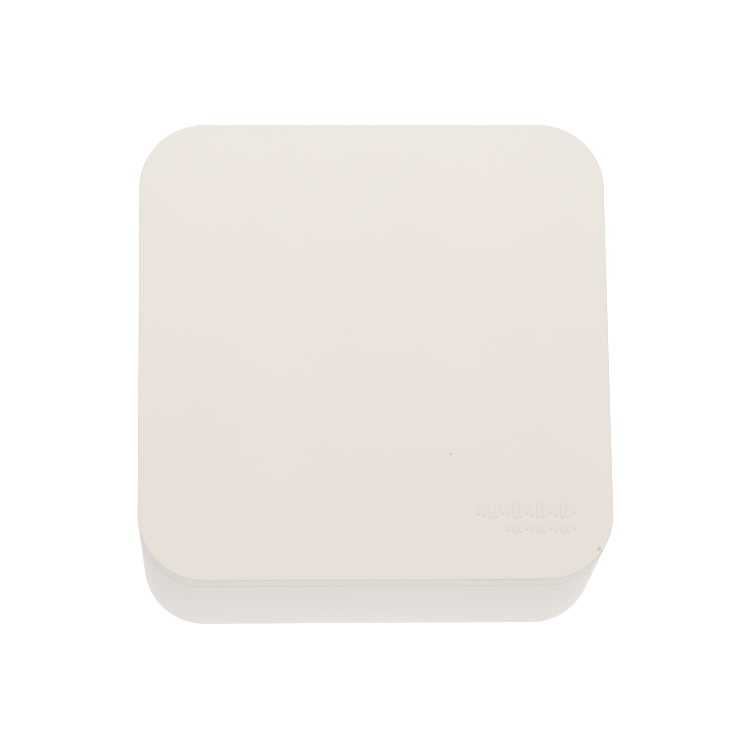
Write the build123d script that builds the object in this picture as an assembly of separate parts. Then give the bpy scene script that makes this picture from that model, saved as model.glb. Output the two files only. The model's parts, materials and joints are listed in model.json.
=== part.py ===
from build123d import *
import math
import os

# Compact square access point for a ceiling, stored lying on its back: the ceiling plane is z = 0 and
# the plain front cover faces +Z. The lower edge of the front, where the raised mark sits, is on -Y.
# The origin is the centre of the ceiling plane. All sizes are in millimetres.

# Driving dimensions
BASE_SIDE = 100.0  # outline at the ceiling plane
DEPTH = 52.0  # ceiling plane to front face
DRAFT_DEG = 0.2  # the sides lean in towards the front
BACK_CORNER_R = 13.6  # plan radius at the ceiling plane
FRONT_CORNER_R = 14.1  # plan radius at the front face
COVER_DEPTH = 6.3  # front face to the seam
SEAM_GAP = 0.25
WALL = 2.0  # side wall of the housing
COVER_PLATE = 2.2  # thickness of the front face
REAR_WALL = 2.2
REAR_WALL_Z = 6.0  # ceiling side of the rear wall
SKIRT_GAP = 0.5  # the housing stands this clear of the ceiling
BOARD_Z = 26.0  # ceiling side of the main board
BOARD_T = 1.6
FIT = 0.05  # radial clearance of a pressed or screwed pin
JOIN = 0.5  # how far a rib or boss runs into the wall it stands on
CUT = 1.0  # how far a cut runs past the face it opens

SEAM_Z = DEPTH - COVER_DEPTH
REAR_IN_Z = REAR_WALL_Z + REAR_WALL
BOARD_TOP = BOARD_Z + BOARD_T
COVER_IN_Z = DEPTH - COVER_PLATE
TAN_DRAFT = math.tan(math.radians(DRAFT_DEG))
DIAGONALS = (45.0, 135.0, 225.0, 315.0)

os.makedirs("parts", exist_ok=True)


# Helpers


def save(name, *solids):
    """Writes one node; several solids stay separate in it."""
    found = [s for shape in solids for s in shape.solids()]
    export_step(found[0] if len(found) == 1 else Compound(found), f"parts/{name}.step")


def box(x, y, z):
    """A block from three (low, high) pairs."""
    centre = [(low + high) / 2 for low, high in (x, y, z)]
    return Pos(*centre) * Box(x[1] - x[0], y[1] - y[0], z[1] - z[0])


def around(x, y, width, length, z):
    """A block centred on (x, y)."""
    return box((x - width / 2, x + width / 2), (y - length / 2, y + length / 2), z)


def rod(radius, z, x=0.0, y=0.0):
    """A round bar along Z."""
    return Pos(x, y, (z[0] + z[1]) / 2) * Cylinder(radius, z[1] - z[0])


def rod_y(radius, y, x, z):
    """A round bar along Y."""
    return Pos(x, (y[0] + y[1]) / 2, z) * Rot(90, 0, 0) * Cylinder(radius, y[1] - y[0])


def corner_radius(z):
    """Plan radius of the skin's corners at height z."""
    return BACK_CORNER_R + (FRONT_CORNER_R - BACK_CORNER_R) * z / DEPTH


def outline(z, inset=0.0):
    """The product's rounded square at height z, set in from its skin."""
    side = BASE_SIDE - 2 * (z * TAN_DRAFT + inset)
    return Pos(0, 0, z) * RectangleRounded(side, side, corner_radius(z) - inset)


def tapered(z, inset=0.0):
    """A solid slice of the product between two heights."""
    wires = [outline(level, inset).faces()[0].outer_wire() for level in z]
    return Solid.make_loft(wires, ruled=True)


def sector(r, z, centre_deg, half_deg):
    """Part of a ring, from (inner, outer) radii, about an angle."""
    start, sweep_deg = centre_deg - half_deg, 2 * half_deg
    outer = CenterArc((0, 0), r[1], start, sweep_deg)
    inner = CenterArc((0, 0), r[0], start, sweep_deg)
    sides = [Line(outer @ 1, inner @ 1), Line(inner @ 0, outer @ 0)]
    return Pos(0, 0, z[0]) * extrude(make_face([outer, sides[0], inner, sides[1]]), z[1] - z[0])


def ring(r, z):
    return rod(r[1], z) - rod(r[0], z)


def four(x, y):
    """The four places with these distances from the two middle planes."""
    return [(sx * x, sy * y) for sx in (-1, 1) for sy in (-1, 1)]


def rib_to_wall(x, y, along, z):
    """A thin rib from a tower or boss straight out to the side wall, along X or Y."""
    half, reach = 0.8, BASE_SIDE / 2
    if along == "X":
        rib = box(sorted((x, math.copysign(reach, x))), (y - half, y + half), z)
    else:
        rib = box((x - half, x + half), sorted((y, math.copysign(reach, y))), z)
    return rib & tapered(z, WALL - JOIN)


def pan_screw(x, y, seat_z, tip_z, head_r, head_t, shank_r):
    """A pan-head screw along Z with a cross recess; its head lies beyond seat_z, away from its tip."""
    out = 1 if seat_z > tip_z else -1
    top = seat_z + out * head_t
    body = rod(head_r, sorted((seat_z, top)), x, y) + rod(shank_r, sorted((tip_z, seat_z)), x, y)
    slot_w, slot_l, slot_t = 0.6, head_r * 1.2, head_t * 0.55
    for width, length in ((slot_w, slot_l), (slot_l, slot_w)):
        body -= around(x, y, width, length, sorted((top, top - out * slot_t)))
    return body


# Mechanical interfaces shared by several pieces

TOWER = 37.5  # corner towers and ears, from the middle planes
TOWER_R = 4.0
TOWER_TOP = 43.6
TOWER_RIB_TOP = 38.0
PEG_R = 1.95
PEG_TIP_Z = 38.0
BOARD_HALF = 44.0
BOARD_NOTCH = 32.5  # the board's corners are cut away beyond this
BOARD_SCREW = (41.0, 26.0)
BOARD_SCREW_R = 1.2
BOARD_SCREW_HEAD = (2.4, 1.6)  # radius, height
BOARD_SCREW_TIP_Z = 18.0
BOSS_R = 3.4

COLLAR_R = (40.0, 42.5)
COLLAR_FOOT_Z = 0.9
LEDGE_R = (36.8, 40.3)
LEDGE_T = 1.8
LEDGE_HALF_DEG = 10.0
EAR_R = 6.5
EAR_Z = 1.2
EAR_WEB = (41.5, 50.0, 9.0)  # from and to, out from the axis, and width
FOOT_R = 5.0
FOOT_Z = (0.4, 2.4)
FOOT_GAP = 0.1
LOCK_BLOCK = (8.4, 41.0, 47.3)  # width, and from and to along Y
RING_SCREW_HEAD = (2.5, 2.0)  # radius, height
RING_SCREW_R = 1.4
RING_SCREW_SEAT_Z = 4.4
RING_SCREW_TIP_Z = 16.0

DISC_R = 35.8
DISC_T = 2.4
CABLE_HOLE_R = 23.0
BRACKET_HOLE_R = 2.2
BRACKET_PCD = 60.0
LUG_R = (33.4, 39.4)
LUG_Z = (3.0, 4.7)
LUG_HALF_DEG = 9.0
STOP_HALF_DEG = 1.8
STOP_GAP_DEG = 0.6  # between a stop and the ledge at rest
DISC_CHAMFER = 0.3
RIM_W, RIM_H = 1.6, 0.8  # raised rim of the cable hole, and the height of the spokes
SPOKE = (24.0, 34.0, 1.2)  # from and to, out from the axis, and width
SPOKE_TURN_DEG = 14.0  # to each side of a lug

LOCK_Z = 3.4  # height of the lock screw's axis
LOCK_SCREW_R = 1.25
LOCK_SCREW_Y = (39.6, 47.0)
INSERT_R = (LOCK_SCREW_R + FIT, 1.8)
INSERT_Y = (41.2, 47.2)
PAD_R = (33.0, 39.2)
PAD_HALF_DEG = 6.0
PAD_TOP_Z = 5.2

BAY_X = (-16.0, 16.0)  # inside of the cable bay
BAY_Y = (-20.5, 14.0)
BAY_WALL = 1.5
BAY_FLOOR_Z = 21.0  # the bay's deepest face
FLANGE_Z = (4.6, REAR_WALL_Z)
BAY_SCREWS = [(19.7, -18.0), (-19.7, -18.0), (19.7, 11.5), (-19.7, 11.5)]
BAY_SCREW_R = 0.95
BAY_BOSS_R = 2.0
BAY_BOSS_Z = 12.5
BAY_FLANGE = ((-21.8, 21.8), (-24.2, 18.0))  # its outline, X then Y
BAY_SCREW_HEAD = (2.0, 1.2)  # radius, height
BAY_SCREW_SINK = 0.6  # the head lies this deep in the flange
TIE_BRIDGE = ((-13.0, -6.0), 4.0, (9.0, 11.0))  # X, reach from the wall, Z
TIE_SLOT = ((-11.5, -7.5), 2.2)  # X, reach from the wall
PORT_GAP = 0.2  # around each socket in the bay's wall

JACK_X = (-12.0, 4.0)
JACK_Y = (BAY_Y[1] + 0.2, 35.6)
JACK_H = 13.4
DC_X = (5.5, 14.5)
DC_Y = (BAY_Y[1] + 0.2, 28.2)
DC_H = 11.0

RESET = (10.0, -12.0)
RESET_CAP_R = 1.75
LED = (15.8, -23.0)
PIN_HOLE_R = 0.18
PIPE_R = 1.5
PIPE_Z = (29.3, 51.1)

SINK_CENTRE = (0.0, 6.0)
SINK_SIDE = 40.0
SINK_BASE_Z = (29.6, 31.6)
SINK_TOP_Z = 42.0
SINK_PINS = [(17.0, 23.0), (-17.0, -11.0)]
PIN_R = 1.45


# Front cover: shallow cap with a locating lip, stiffening ribs, four pegs and a raised pictogram

LIP_OUT = WALL + 0.25
LIP_IN = LIP_OUT + 1.0
LIP_FOOT_Z = 42.8
COVER_EDGE_R = 0.25
RIB_AT, RIB_DEEP, RIB_T = 22.0, 1.4, 1.0
RIB_LENGTH = 91.0
POST_R = 3.4
POST_FOOT_Z = TOWER_TOP + 0.4
PIPE_POST_R = 2.6
PIPE_POST_FOOT_Z = 42.0
NOTCH_DEG = -33.0  # pry notch, about the lower right corner's own centre
NOTCH_SIZE = (2.0, 2.6, 1.4)
GATE_DEG, GATE_INSET, GATE_R = -35.5, 0.7, 0.4  # moulding mark on the same corner's front edge
PEG_LEAD_IN = 0.5

# The pictogram: two rows of round-ended bars whose lengths follow a wave
MARK_RAISE = 0.14
MARK_RIGHT = 41.8  # outer side of the last bar in both rows
MARK_BAR_W, MARK_PITCH = 0.6, 1.25
MARK_WAVE = 0.8  # how far the wave turns from one bar to the next, in radians
MARK_ROWS = [(17, -35.0, 1.4, 2.0), (12, -38.7, 0.9, 1.4)]  # bars, y, shortest bar, and the wave's height


def cover_mark():
    """The raised pictogram."""
    bars = []
    for count, y, shortest, swing in MARK_ROWS:
        for index in range(count):
            x = MARK_RIGHT - MARK_BAR_W / 2 - index * MARK_PITCH
            length = shortest + swing * abs(math.sin(MARK_WAVE * index))
            bars.append(Pos(x, y) * SlotOverall(length, MARK_BAR_W, rotation=90))
    return [Pos(0, 0, DEPTH - JOIN) * extrude(bar, JOIN + MARK_RAISE) for bar in bars]


def on_lower_right(angle, inset, z):
    """A place on the lower right corner's arc, turned to face out of it."""
    radius = corner_radius(z)
    centre = BASE_SIDE / 2 - z * TAN_DRAFT - radius
    return Pos(centre, -centre, z) * Rot(0, 0, angle) * Pos(radius - inset, 0, 0)


def front_cover():
    shell = tapered((SEAM_Z, DEPTH))
    shell = fillet(shell.faces().sort_by(Axis.Z)[-1].edges(), COVER_EDGE_R)
    shell -= tapered((SEAM_Z - CUT, COVER_IN_Z), LIP_IN)
    lip = tapered((LIP_FOOT_Z, SEAM_Z + JOIN), LIP_OUT)
    shell += lip - tapered((LIP_FOOT_Z - CUT, SEAM_Z + CUT), LIP_IN)
    rib_z = (COVER_IN_Z - RIB_DEEP, COVER_IN_Z + JOIN)
    rib_field = tapered(rib_z, LIP_IN - JOIN)
    for offset in (-RIB_AT, 0.0, RIB_AT):
        shell += around(0, offset, RIB_LENGTH, RIB_T, rib_z) & rib_field
        shell += around(offset, 0, RIB_T, RIB_LENGTH, rib_z) & rib_field
    for x, y in four(TOWER, TOWER):
        shell += rod(POST_R, (POST_FOOT_Z, COVER_IN_Z + JOIN), x, y)
        peg = rod(PEG_R, (PEG_TIP_Z, POST_FOOT_Z + JOIN), x, y)
        shell += chamfer(peg.edges().sort_by(Axis.Z)[0], PEG_LEAD_IN)
    shell += rod(PIPE_POST_R, (PIPE_POST_FOOT_Z, COVER_IN_Z + JOIN), *LED)
    shell -= rod(PIPE_R + FIT, (PIPE_POST_FOOT_Z - CUT, PIPE_Z[1] + FIT), *LED)
    shell -= rod(PIN_HOLE_R, (PIPE_Z[1], DEPTH + CUT), *LED)
    for bar in cover_mark():
        shell += bar
    shell -= on_lower_right(NOTCH_DEG, 0, SEAM_Z) * Box(*NOTCH_SIZE)
    return shell - on_lower_right(GATE_DEG, GATE_INSET, DEPTH) * Sphere(GATE_R)


# Housing: deep tub with a rear wall, corner towers and board bosses

VENT = (1.6, 12.0, 3.2)  # width, length, pitch
VENT_ROWS = 4
VENT_X, VENT_Y = 24.6, 8.0  # first slot's centre
KEY_HOLE_R = 1.7  # in the skirt, in line with the lock screw
BAY_GAP = 0.1  # around the cable bay in the rear wall


def housing_shell():
    shell = tapered((SKIRT_GAP, SEAM_Z - SEAM_GAP))
    shell -= tapered((REAR_IN_Z, SEAM_Z + CUT), WALL)
    shell -= tapered((SKIRT_GAP - CUT, REAR_WALL_Z), WALL)
    foot = REAR_IN_Z - JOIN
    for x, y in four(TOWER, TOWER):
        shell += rod(TOWER_R, (foot, TOWER_TOP), x, y)
        for along in ("X", "Y"):
            shell += rib_to_wall(x, y, along, (foot, TOWER_RIB_TOP))
    for x, y in four(*BOARD_SCREW):
        shell += rod(BOSS_R, (foot, BOARD_Z), x, y) + rib_to_wall(x, y, "X", (foot, BOARD_Z - 2))
    for x, y in BAY_SCREWS:
        shell += rod(BAY_BOSS_R, (foot, BAY_BOSS_Z), x, y)
    for x, y in four(TOWER, TOWER):
        shell -= rod(PEG_R + FIT, (PEG_TIP_Z - CUT, TOWER_TOP + CUT), x, y)
        shell -= rod(RING_SCREW_R + FIT, (REAR_WALL_Z - CUT, RING_SCREW_TIP_Z + CUT), x, y)
    for x, y in four(*BOARD_SCREW):
        shell -= rod(BOARD_SCREW_R + FIT, (BOARD_SCREW_TIP_Z - CUT, BOARD_Z + CUT), x, y)
    for x, y in BAY_SCREWS:
        shell -= rod(BAY_SCREW_R + FIT, (REAR_WALL_Z - CUT, BAY_BOSS_Z + CUT), x, y)
    rim = BAY_WALL + BAY_GAP
    bay_x = (BAY_X[0] - rim, BAY_X[1] + rim)
    bay_y = (BAY_Y[0] - rim, BAY_Y[1] + rim)
    shell -= box(bay_x, bay_y, (REAR_WALL_Z - CUT, REAR_IN_Z + CUT))
    width, length, pitch = VENT
    slot = extrude(SlotOverall(length, width, rotation=90), REAR_WALL + 2 * CUT)
    for side in (-1, 1):
        for row in range(VENT_ROWS):
            for y in (-VENT_Y, VENT_Y):
                shell -= Pos(side * (VENT_X + row * pitch), y, REAR_WALL_Z - CUT) * slot
    return shell - rod_y(KEY_HOLE_R, (BASE_SIDE / 2 - WALL - CUT, BASE_SIDE / 2 + CUT), 0.0, LOCK_Z)


# Bayonet ring: collar with four inward ledges, screwed behind the rear wall


def bayonet_ring():
    body = ring(COLLAR_R, (COLLAR_FOOT_Z, REAR_WALL_Z))
    for angle in DIAGONALS:
        body += sector(LEDGE_R, (COLLAR_FOOT_Z, COLLAR_FOOT_Z + LEDGE_T), angle, LEDGE_HALF_DEG)
    for x, y in four(TOWER, TOWER):
        ear_angle = math.degrees(math.atan2(y, x))
        start, end, width = EAR_WEB
        body += Rot(0, 0, ear_angle) * box((start, end), (-width / 2, width / 2), (EAR_Z, REAR_WALL_Z))
        body += rod(EAR_R, (EAR_Z, REAR_WALL_Z), x, y)
        body -= rod(FOOT_R + FOOT_GAP, (EAR_Z - CUT, FOOT_Z[1]), x, y)
        body -= rod(RING_SCREW_HEAD[0] + 0.2, (EAR_Z, RING_SCREW_SEAT_Z), x, y)
        body -= rod(RING_SCREW_R + FIT, (EAR_Z, REAR_WALL_Z + CUT), x, y)
    width, start, end = LOCK_BLOCK
    body += box((-width / 2, width / 2), (start, end), (COLLAR_FOOT_Z, REAR_WALL_Z))
    body -= rod_y(INSERT_R[1] + FIT, (INSERT_Y[0], end + CUT), 0.0, LOCK_Z)
    return body - rod_y(LOCK_SCREW_R + FIT, (COLLAR_R[0] - 2 * CUT, end + CUT), 0.0, LOCK_Z)


def ring_screw(x, y):
    return pan_screw(x, y, RING_SCREW_SEAT_Z, RING_SCREW_TIP_Z, *RING_SCREW_HEAD, RING_SCREW_R)


def lock_screw():
    """Hex-socket grub screw, backed out so that the housing can turn."""
    tip_chamfer, key_r, key_deep = 0.4, 0.75, 1.8
    body = rod_y(LOCK_SCREW_R, LOCK_SCREW_Y, 0.0, LOCK_Z)
    body = chamfer(body.edges().sort_by(Axis.Y)[0], tip_chamfer)
    socket = extrude(RegularPolygon(key_r, 6), key_deep)
    return body - Pos(0, LOCK_SCREW_Y[1], LOCK_Z) * Rot(90, 0, 0) * socket


def lock_screw_insert():
    bore_y = (INSERT_Y[0] - CUT, INSERT_Y[1] + CUT)
    return rod_y(INSERT_R[1], INSERT_Y, 0.0, LOCK_Z) - rod_y(INSERT_R[0], bore_y, 0.0, LOCK_Z)


# Ceiling bracket: disc with a cable hole, four screw holes and four L-shaped lugs


def ceiling_bracket():
    body = ring((CABLE_HOLE_R, DISC_R), (0, DISC_T))
    body = chamfer(body.edges().filter_by(GeomType.CIRCLE).group_by(Axis.Z)[-1], DISC_CHAMFER)
    raised_z = (DISC_T - JOIN, DISC_T + RIM_H)
    body += ring((CABLE_HOLE_R, CABLE_HOLE_R + RIM_W), raised_z)
    start, end, width = SPOKE
    for angle in DIAGONALS:
        body += sector((LUG_R[0], DISC_R), (DISC_T - JOIN, LUG_Z[1]), angle, LUG_HALF_DEG)
        body += sector((DISC_R - JOIN, LUG_R[1]), LUG_Z, angle, LUG_HALF_DEG)
        stop_at = angle - LEDGE_HALF_DEG - STOP_GAP_DEG - STOP_HALF_DEG
        body += sector(LUG_R, (0, LUG_Z[1]), stop_at, STOP_HALF_DEG)
        body += sector(LUG_R, LUG_Z, stop_at + STOP_HALF_DEG, STOP_HALF_DEG)
        for turn in (-SPOKE_TURN_DEG, SPOKE_TURN_DEG):
            body += Rot(0, 0, angle + turn) * box((start, end), (-width / 2, width / 2), raised_z)
    body += sector(PAD_R, (0, PAD_TOP_Z), 90.0, PAD_HALF_DEG)
    body -= rod_y(LOCK_SCREW_R + 3 * FIT, (DISC_R, PAD_R[1] + CUT), 0.0, LOCK_Z)
    for quarter in range(4):
        angle = math.radians(90 * quarter)
        x, y = BRACKET_PCD / 2 * math.cos(angle), BRACKET_PCD / 2 * math.sin(angle)
        body -= rod(BRACKET_HOLE_R, (-CUT, DISC_T + CUT), x, y)
    return body


# Cable bay: tray set into the rear wall, with the socket openings and the reset hole


def cable_bay():
    outer_x = (BAY_X[0] - BAY_WALL, BAY_X[1] + BAY_WALL)
    outer_y = (BAY_Y[0] - BAY_WALL, BAY_Y[1] + BAY_WALL)
    tray = box(outer_x, outer_y, (FLANGE_Z[0], BAY_FLOOR_Z + BAY_WALL))
    tray += box(*BAY_FLANGE, FLANGE_Z)
    tray -= box(BAY_X, BAY_Y, (FLANGE_Z[0] - CUT, BAY_FLOOR_Z))
    wall_y = (BAY_Y[1] - FIT, outer_y[1] + FIT)
    top = BAY_FLOOR_Z + BAY_WALL + CUT
    for port_x, port_h in ((JACK_X, JACK_H), (DC_X, DC_H)):
        opening = (port_x[0] - PORT_GAP, port_x[1] + PORT_GAP)
        tray -= box(opening, wall_y, (BOARD_Z - port_h - PORT_GAP, top))
    tray -= rod(RESET_CAP_R + 0.15, (BAY_FLOOR_Z - CUT, top), *RESET)
    head_r, head_t = BAY_SCREW_HEAD
    for x, y in BAY_SCREWS:
        tray -= rod(BAY_SCREW_R + 0.1, (FLANGE_Z[0] - CUT, FLANGE_Z[1] + CUT), x, y)
        tray -= Pos(x, y, FLANGE_Z[0] + BAY_SCREW_SINK) * Cone(head_r + 0.1, BAY_SCREW_R + 0.1, head_t)
    bridge_x, reach, bridge_z = TIE_BRIDGE
    slot_x, slot_reach = TIE_SLOT
    bridge = box(bridge_x, (BAY_Y[0] - FIT, BAY_Y[0] + reach), bridge_z)
    slot = box(slot_x, (BAY_Y[0], BAY_Y[0] + slot_reach), (bridge_z[0] - CUT, bridge_z[1] + CUT))
    return tray + (bridge - slot)


def bay_screw(x, y):
    head_r, head_t = BAY_SCREW_HEAD
    body = Pos(x, y, FLANGE_Z[0] + BAY_SCREW_SINK) * Cone(head_r, BAY_SCREW_R, head_t)
    body += rod(BAY_SCREW_R, (FLANGE_Z[0] + BAY_SCREW_SINK, BAY_BOSS_Z - CUT), x, y)
    slot_w, slot_l = 0.5, 2.2
    for width, length in ((slot_w, slot_l), (slot_l, slot_w)):
        body -= around(x, y, width, length, (FLANGE_Z[0] - FIT, FLANGE_Z[0] + BAY_SCREW_SINK))
    return body


# Main board and what is soldered to it


def main_board():
    side = 2 * BOARD_HALF
    through = (BOARD_Z - CUT, BOARD_TOP + CUT)
    board = around(0, 0, side, side, (BOARD_Z, BOARD_TOP))
    for x, y in four(BOARD_HALF, BOARD_HALF):
        cut = 2 * (BOARD_HALF - BOARD_NOTCH)
        board -= around(x, y, cut, cut, through)
    for x, y in four(*BOARD_SCREW):
        board -= rod(BOARD_SCREW_R + 0.25, through, x, y)
    for x, y in SINK_PINS:
        board -= rod(PIN_R + 0.1, through, x, y)
    return board


def board_screw(x, y):
    return pan_screw(x, y, BOARD_TOP, BOARD_SCREW_TIP_Z, *BOARD_SCREW_HEAD, BOARD_SCREW_R)


SHEET = 0.25  # shield of the network socket
PLUG_W, PLUG_H, PLUG_DEEP = 11.9, 7.0, 13.0
LATCH = ((6.4, 1.7), (3.4, 3.2))  # steps of the latch's channel: width, and depth below the plug
JACK_MID = (JACK_X[0] + JACK_X[1]) / 2
JACK_FOOT = BOARD_Z - JACK_H
PLUG_Z = (JACK_FOOT + 4.2, JACK_FOOT + 4.2 + PLUG_H)
CONTACTS, CONTACT_PITCH, CONTACT_R = 8, 1.02, 0.2
CONTACT_TIP = (5.0, 1.4)  # in from the mouth, and below the roof


def ethernet_jack_shield():
    body = box(JACK_X, JACK_Y, (JACK_FOOT, BOARD_Z))
    inner_x = (JACK_X[0] + SHEET, JACK_X[1] - SHEET)
    inner_y = (JACK_Y[0] - CUT, JACK_Y[1] - SHEET)
    return body - box(inner_x, inner_y, (JACK_FOOT + SHEET, BOARD_Z + CUT))


def ethernet_jack_insert():
    gap = SHEET + FIT
    body = box(
        (JACK_X[0] + gap, JACK_X[1] - gap),
        (JACK_Y[0] + 0.1, JACK_Y[1] - gap),
        (JACK_FOOT + gap, BOARD_Z - 0.05),
    )
    middle = JACK_Y[0] + PLUG_DEEP / 2
    body -= around(JACK_MID, middle, PLUG_W, PLUG_DEEP, PLUG_Z)
    for width, below in LATCH:
        body -= around(JACK_MID, middle, width, PLUG_DEEP, (PLUG_Z[0] - below, PLUG_Z[0] + CUT))
    return body


def contact(index):
    """One spring contact, lying back from the socket's mouth under its roof."""
    x = JACK_MID + (index - (CONTACTS - 1) / 2) * CONTACT_PITCH
    tip = Vector(x, JACK_Y[0] + CONTACT_TIP[0], PLUG_Z[1] - CONTACT_TIP[1])
    root = Vector(x, JACK_Y[0] + PLUG_DEEP - CONTACT_R, PLUG_Z[1] - CONTACT_R - 2 * FIT)
    return sweep(Plane(origin=tip, z_dir=root - tip) * Circle(CONTACT_R), path=Line(tip, root))


DC_MID = (DC_X[0] + DC_X[1]) / 2
DC_BORE_R, DC_PIN_R, DC_DEEP = 3.2, 1.0, 9.5
DC_AXIS_Z = BOARD_Z - DC_H + 5.0


def dc_jack():
    body = box(DC_X, DC_Y, (BOARD_Z - DC_H, BOARD_Z))
    return body - rod_y(DC_BORE_R, (DC_Y[0] - CUT, DC_Y[0] + DC_DEEP), DC_MID, DC_AXIS_Z)


def dc_jack_pin():
    return rod_y(DC_PIN_R, (DC_Y[0] + 1.0, DC_Y[0] + DC_DEEP), DC_MID, DC_AXIS_Z)


TRANSFORMER = (27.0, 12.0)
CORE = (13.0, 10.0, 10.6)  # width, length, height
CORE_LIMB = 2.0
BOBBIN = (8.8, 13.0)  # width, length
BOBBIN_GAP = 0.1


def poe_transformer_core():
    x, y = TRANSFORMER
    width, length, height = CORE
    core = around(x, y, width, length, (BOARD_Z - height, BOARD_Z))
    window_z = (BOARD_Z - height + CORE_LIMB, BOARD_Z - CORE_LIMB)
    return core - around(x, y, width - 2 * CORE_LIMB, length + 2 * CUT, window_z)


def poe_transformer_winding():
    foot = BOARD_Z - CORE[2] + CORE_LIMB + BOBBIN_GAP
    return around(*TRANSFORMER, *BOBBIN, (foot, BOARD_Z - CORE_LIMB - BOBBIN_GAP))


# Place, radius and height of each
CAPACITORS = [(25.0, -4.0, 4.0, 12.0), (25.0, -14.0, 4.0, 12.0), (34.0, -9.0, 3.15, 10.0)]
CAPACITOR_RIM = 0.4


def capacitor(x, y, radius, height):
    can = rod(radius, (BOARD_Z - height, BOARD_Z), x, y)
    return chamfer(can.edges().sort_by(Axis.Z)[0], CAPACITOR_RIM)


INDUCTORS = [(-27.0, 0.0), (-27.0, -13.0)]
INDUCTOR_SIDE, INDUCTOR_H, INDUCTOR_CHAMFER = 10.0, 4.5, 1.4


def inductor(x, y):
    body = around(x, y, INDUCTOR_SIDE, INDUCTOR_SIDE, (BOARD_Z - INDUCTOR_H, BOARD_Z))
    return chamfer(body.edges().filter_by(Axis.Z), INDUCTOR_CHAMFER)


CAN_H, CAN_SHEET, CAN_CORNER_R = 2.6, 0.3, 1.0
VENT_HOLE_R, VENT_HOLE_PITCH = 0.5, 3.0
VENT_HOLE_MARGIN = 1.2  # one hole for each pitch and a share of this across


def shield_can(x, y):
    """A pressed lid over a radio, open towards the board, with a grid of vent holes."""
    top = BOARD_TOP + CAN_H
    body = box(x, y, (BOARD_TOP, top))
    body = fillet(body.edges().filter_by(Axis.Z), CAN_CORNER_R)
    inner_x, inner_y = (x[0] + CAN_SHEET, x[1] - CAN_SHEET), (y[0] + CAN_SHEET, y[1] - CAN_SHEET)
    body -= box(inner_x, inner_y, (BOARD_TOP - CUT, top - CAN_SHEET))
    columns = int((x[1] - x[0]) / (VENT_HOLE_PITCH * VENT_HOLE_MARGIN))
    rows = int((y[1] - y[0]) / (VENT_HOLE_PITCH * VENT_HOLE_MARGIN))
    for column in range(columns):
        for row in range(rows):
            hole_x = (x[0] + x[1]) / 2 + (column - (columns - 1) / 2) * VENT_HOLE_PITCH
            hole_y = (y[0] + y[1]) / 2 + (row - (rows - 1) / 2) * VENT_HOLE_PITCH
            body -= rod(VENT_HOLE_R, (top - 2 * CAN_SHEET, top + CUT), hole_x, hole_y)
    return body


CAN_5G = ((-31.0, -9.0), (-37.5, -18.5))
CAN_2G = ((-6.0, 9.0), (-37.5, -18.5))


# Processor, its pad and the finned heat sink held by two sprung push pins


FINS, FIN_T = 9, 1.2
PIN_WELL_R = 4.2  # room around a push pin among the fins


def heat_sink():
    x0, y0 = SINK_CENTRE
    body = around(x0, y0, SINK_SIDE, SINK_SIDE, SINK_BASE_Z)
    pitch = (SINK_SIDE - FIN_T) / (FINS - 1)
    for index in range(FINS):
        x = x0 + (index - (FINS - 1) / 2) * pitch
        body += around(x, y0, FIN_T, SINK_SIDE, (SINK_BASE_Z[1] - JOIN, SINK_TOP_Z))
    for x, y in SINK_PINS:
        body -= rod(PIN_WELL_R, (SINK_BASE_Z[1], SINK_TOP_Z + CUT), x, y)
        body -= rod(PIN_R + 0.1, (SINK_BASE_Z[0] - CUT, SINK_BASE_Z[1] + CUT), x, y)
    return body


PIN_HEAD_R, PIN_HEAD_Z = 3.1, (36.0, 37.4)
PIN_FOOT_Z = BOARD_Z - 1.0
BARB = (1.1, 2.0, 1.4)  # radius at its tip and at its shoulder, height


def push_pin(x, y):
    pin = rod(PIN_R, (PIN_FOOT_Z, PIN_HEAD_Z[1]), x, y) + rod(PIN_HEAD_R, PIN_HEAD_Z, x, y)
    return pin + Pos(x, y, BOARD_Z - 0.2 - BARB[2] / 2) * Cone(*BARB)


def pin_spring(x, y):
    wire_r, coil_r, turns, gap = 0.3, 2.3, 4, 0.03
    height = PIN_HEAD_Z[0] - SINK_BASE_Z[1] - 2 * (wire_r + gap)
    path = Helix(pitch=height / turns, height=height, radius=coil_r)
    section = Plane(origin=path @ 0, z_dir=path % 0) * Circle(wire_r)
    return Pos(x, y, SINK_BASE_Z[1] + wire_r + gap) * sweep(section, path=path)


# Antennas, their leads and connectors

ANTENNA_Z = (BOARD_TOP + 2.2, 40.6)
ANTENNA_AT = 42.0
ANTENNA_T = 0.4
ANTENNA_SLIT = (1.2, 36.6)  # width, and how far up it runs
ANTENNA_HEM = 6.0  # folded in along the top
LEG_HALF = 0.8

# Length and turn of each
ANTENNAS = {"right": (30.0, 0), "left": (30.0, 180), "upper": (18.0, 90), "lower": (18.0, 270)}


def antenna(length, turn_deg):
    """A bent-metal element standing on the board's edge, with a feed leg and a ground leg."""
    plate_x = (ANTENNA_AT, ANTENNA_AT + ANTENNA_T)
    across = (-length / 2, length / 2)
    body = box(plate_x, across, ANTENNA_Z)
    body += box((ANTENNA_AT - ANTENNA_HEM, plate_x[1]), across, (ANTENNA_Z[1] - ANTENNA_T, ANTENNA_Z[1]))
    slit_w, slit_top = ANTENNA_SLIT
    slit_x = (plate_x[0] - CUT, plate_x[1] + CUT)
    body -= box(slit_x, (length / 6, length / 6 + slit_w), (BOARD_TOP, slit_top))
    for leg in (0.0, length / 2 - 1.0):
        body += box(plate_x, (leg - LEG_HALF, leg + LEG_HALF), (BOARD_TOP, ANTENNA_Z[0] + JOIN))
    return Rot(0, 0, turn_deg) * body


LEAD_R = 0.55
LEAD_Z = BOARD_TOP + 1.25
PLUG_R, PLUG_T = 1.4, 1.9

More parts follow.
